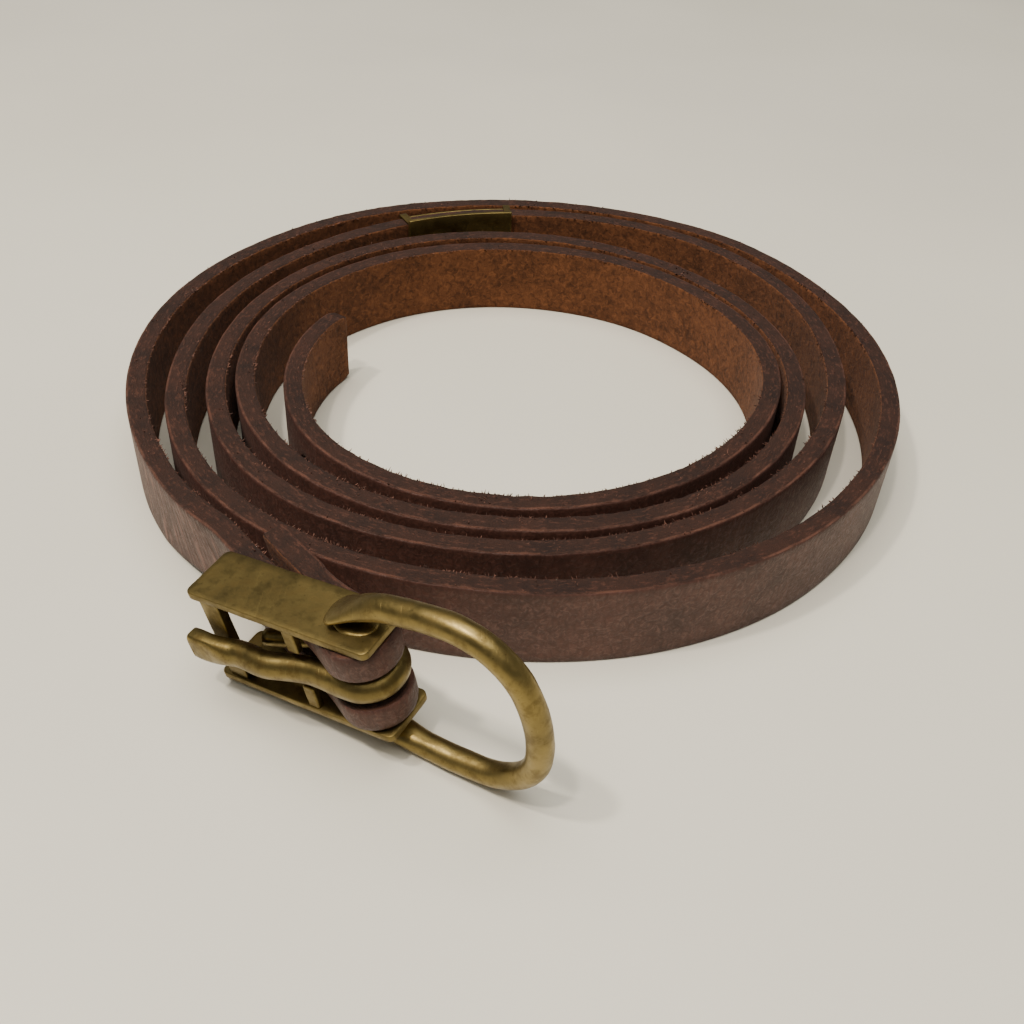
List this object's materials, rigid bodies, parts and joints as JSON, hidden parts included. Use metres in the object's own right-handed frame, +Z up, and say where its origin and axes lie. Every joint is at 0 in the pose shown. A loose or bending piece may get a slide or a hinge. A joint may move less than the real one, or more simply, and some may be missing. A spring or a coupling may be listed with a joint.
{
  "type": "leather belt",
  "caption": "Narrow leather belt coiled on edge, with a brass two-plate buckle, a loose tongue, a D-shaped bow and a sliding sheet-metal keeper.",
  "frame": {"origin": "middle of the box's underside, on the surface the belt rests on", "axes": "+Z up along the strap's width, -Y towards the buckle, +X to the bow's side"},
  "size_m": [0.1474, 0.1696, 0.0334],
  "materials": {
    "leather": "vegetable-tanned, brown grain face, raw suede back and raw cut edges",
    "brass": "satin, aged and lightly scratched",
    "keeper_brass": "thin sheet, satin, aged"
  },
  "bodies": {
    "strap": {"strap": "leather"},
    "buckle": {"top_plate": "brass", "bottom_plate": "brass", "end_bar": "brass", "upper_stub": "brass", "lower_stub": "brass", "pin": "brass", "bow": "brass"},
    "tongue": {"tongue": "brass"},
    "keeper": {"keeper": "keeper_brass"}
  },
  "joints": [
    {"name": "buckle_swing", "type": "hinge", "parent": "strap", "child": "buckle", "pos_m": [-0.01774, -0.07039, 0.01451], "axis": [-0.188, -0.0137, 0.9821], "range_deg": [-4, 30]},
    {"name": "tongue_swing", "type": "hinge", "parent": "buckle", "child": "tongue", "pos_m": [-0.01774, -0.07039, 0.01451], "axis": [-0.188, -0.0137, 0.9821], "range_deg": [0, 120]},
    {"name": "keeper_slide", "type": "hinge", "parent": "strap", "child": "keeper", "pos_m": [0.00432, 0.01328, 0.0075], "axis": [0, 0, 1], "range_deg": [-3, 3]}
  ]
}
